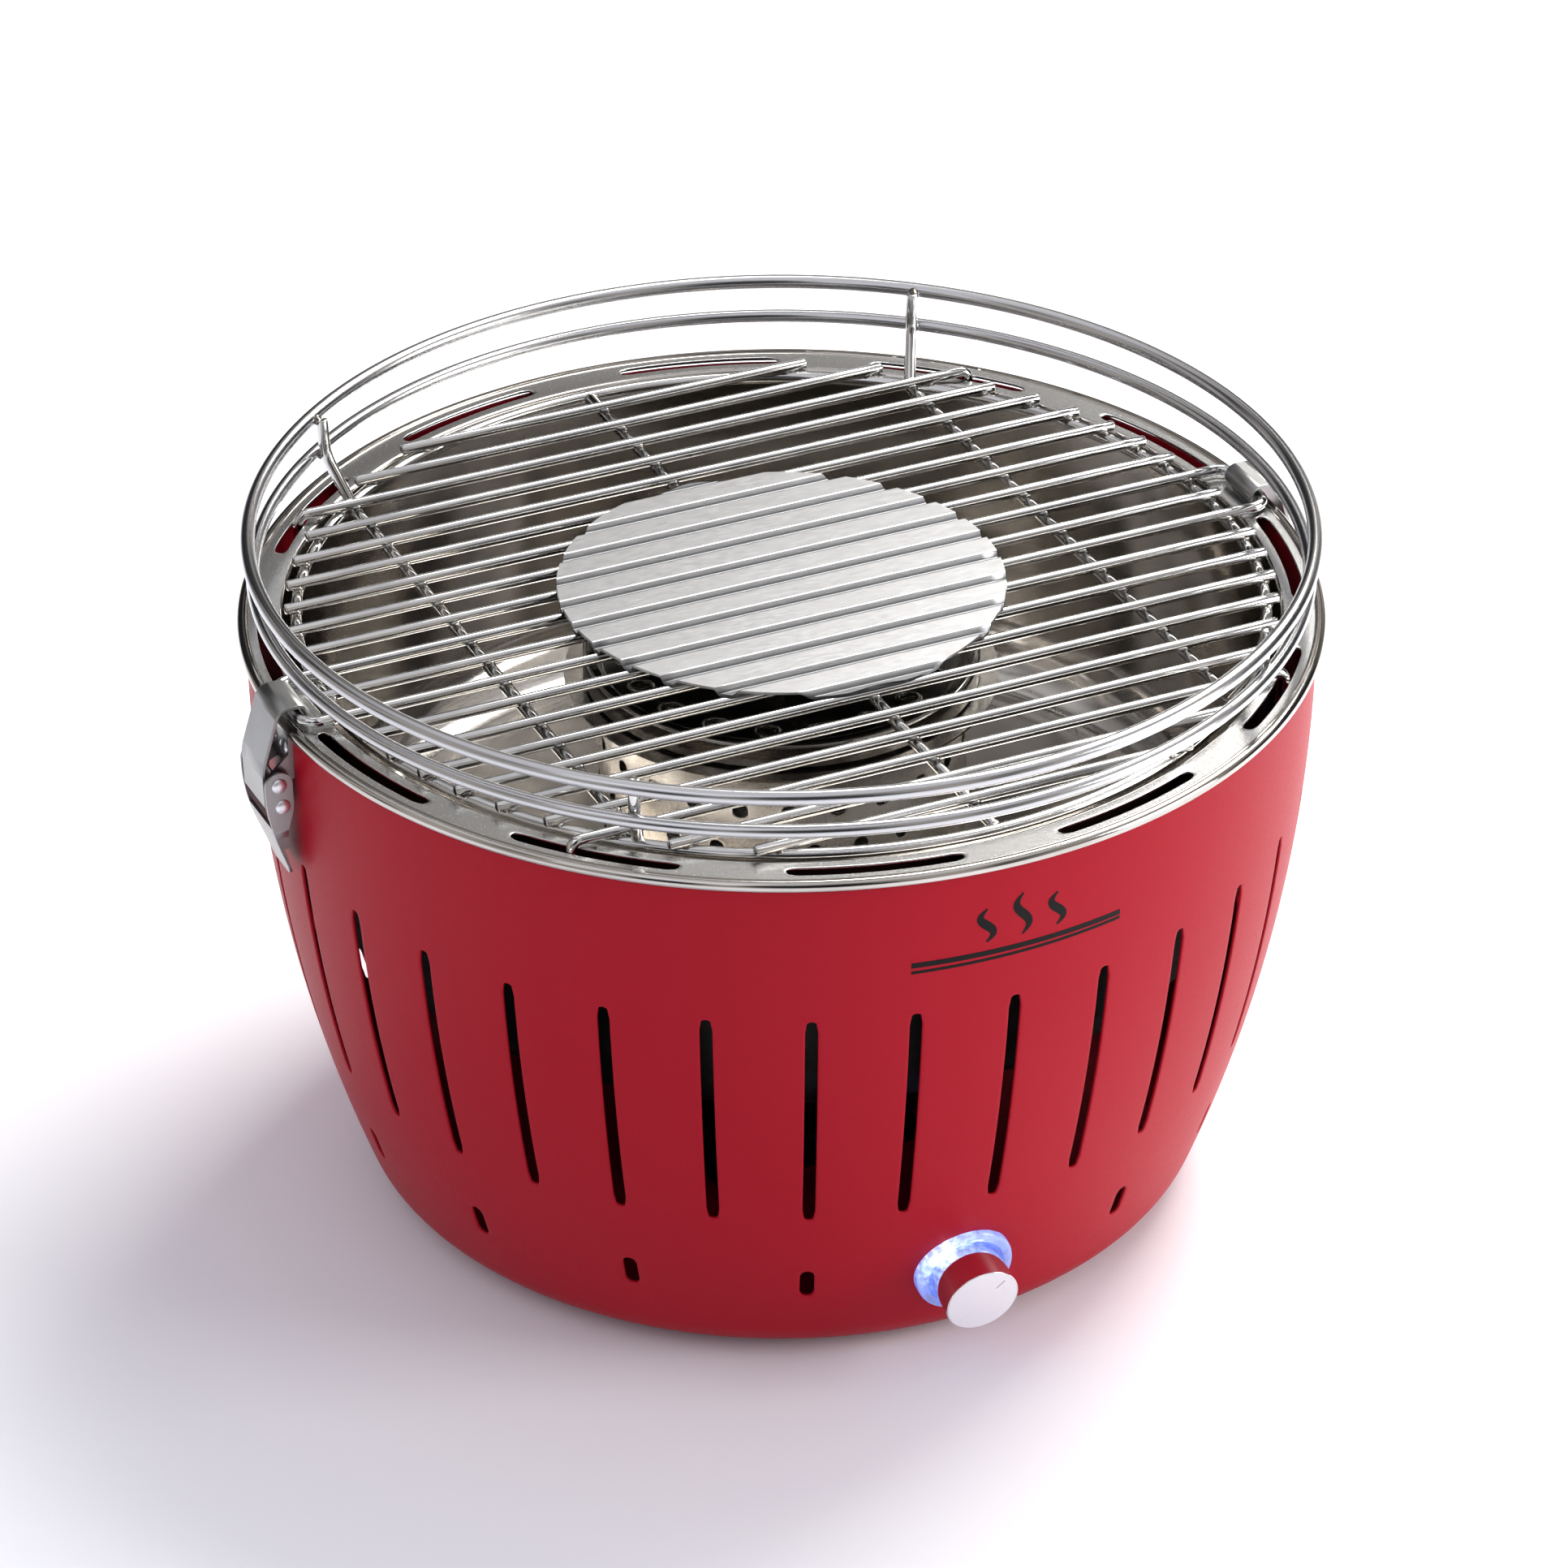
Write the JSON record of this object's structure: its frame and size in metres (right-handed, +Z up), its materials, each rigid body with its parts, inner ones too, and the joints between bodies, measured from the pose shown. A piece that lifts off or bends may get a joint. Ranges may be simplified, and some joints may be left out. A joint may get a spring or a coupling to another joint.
{
  "type": "portable tabletop grill",
  "caption": "Round tabletop charcoal grill with a vented double bowl, a fan with a lit control knob, and a wire grate held by toggle latches.",
  "frame": {"origin": "on the ground under the middle of the bowl", "axes": "+Z up, -Y towards the control knob, +X towards the right latch"},
  "size_m": [0.3688, 0.3526, 0.2341],
  "materials": {
    "red_bowl": "matt powder coat",
    "polished_bowl": "polished stainless steel",
    "grate_wire": "electropolished wire",
    "guard_wire": "satin wire",
    "plate_steel": "fine satin sheet",
    "container_steel": "bright sheet steel",
    "lid_steel": "darkened sheet steel",
    "latch_steel": "tumbled stainless steel",
    "knob_chrome": "chrome plate",
    "knob_cap": "fine matt anodised",
    "clear_ring": "clear moulded plastic",
    "black_plastic": "moulded",
    "duct_steel": "rolled",
    "motor_steel": "zinc plate",
    "cell_wrap": "printed film",
    "foot_rubber": "moulded rubber"
  },
  "bodies": {
    "bowl": {"outer_bowl": "red_bowl", "inner_bowl": "polished_bowl", "grate_rods": "grate_wire", "latch_loop": "grate_wire", "leg_rods": "grate_wire", "base_ring": "grate_wire", "centre_cross_rod": "grate_wire", "left_post_rod": "grate_wire", "right_post_rod": "grate_wire", "lower_guard_ring": "guard_wire", "upper_guard_ring": "guard_wire", "ignition_tray": "container_steel", "left_latch_bracket": "latch_steel", "left_base_pin": "latch_steel", "left_bracket_rivets": "latch_steel", "right_latch_bracket": "latch_steel", "right_base_pin": "latch_steel", "right_bracket_rivets": "latch_steel", "light_ring": "clear_ring", "fan_housing": "black_plastic", "fan_cover": "black_plastic", "battery_box": "black_plastic", "battery_cover": "black_plastic", "control_dial_switch": "black_plastic", "air_duct": "duct_steel", "fan_motor": "motor_steel", "cover_screws": "motor_steel", "housing_screws": "motor_steel", "battery_cells": "cell_wrap", "rubber_feet": "foot_rubber"},
    "heat_plate": {"heat_plate": "plate_steel"},
    "container": {"charcoal_container": "container_steel"},
    "container_lid": {"container_lid": "lid_steel"},
    "knob": {"control_knob": "knob_chrome", "knob_cap": "knob_cap"},
    "fan": {"fan_impeller": "black_plastic"},
    "left_lever": {"left_latch_lever": "latch_steel", "left_hook_pin": "latch_steel"},
    "left_hook": {"left_latch_hook": "latch_steel"},
    "right_lever": {"right_latch_lever": "latch_steel", "right_hook_pin": "latch_steel"},
    "right_hook": {"right_latch_hook": "latch_steel"}
  },
  "joints": [
    {"name": "plate_lift", "type": "slide", "parent": "bowl", "child": "heat_plate", "axis": [0, 0, 1], "range_m": [0, 0.12]},
    {"name": "container_lift", "type": "slide", "parent": "bowl", "child": "container", "axis": [0, 0, 1], "range_m": [0, 0.006]},
    {"name": "lid_lift", "type": "slide", "parent": "container", "child": "container_lid", "axis": [0, 0, 1], "range_m": [0, 0.006]},
    {"name": "knob_turn", "type": "hinge", "parent": "bowl", "child": "knob", "pos_m": [-0.00574, -0.14941, 0.037], "axis": [-0.0375, -0.9774, -0.2079], "range_deg": [-105, 195]},
    {"name": "fan_spin", "type": "hinge", "parent": "bowl", "child": "fan", "pos_m": [0, 0, 0.0445], "axis": [0, 0, 1], "continuous": true},
    {"name": "left_lever_swing", "type": "hinge", "parent": "bowl", "child": "left_lever", "pos_m": [-0.1796, 0, 0.184], "axis": [0, 1, 0], "range_deg": [0, 90]},
    {"name": "left_hook_swing", "type": "hinge", "parent": "left_lever", "child": "left_hook", "pos_m": [-0.1786, 0, 0.1762], "axis": [0, 1, 0], "range_deg": [-67.5, 0]},
    {"name": "right_lever_swing", "type": "hinge", "parent": "bowl", "child": "right_lever", "pos_m": [0.1796, 0, 0.184], "axis": [0, -1, 0], "range_deg": [0, 90]},
    {"name": "right_hook_swing", "type": "hinge", "parent": "right_lever", "child": "right_hook", "pos_m": [0.1786, 0, 0.1762], "axis": [0, -1, 0], "range_deg": [-67.5, 0]}
  ],
  "couplings": [
    {"joint": "left_hook_swing", "follows": "left_lever_swing", "ratio": -0.75},
    {"joint": "right_hook_swing", "follows": "right_lever_swing", "ratio": -0.75}
  ]
}
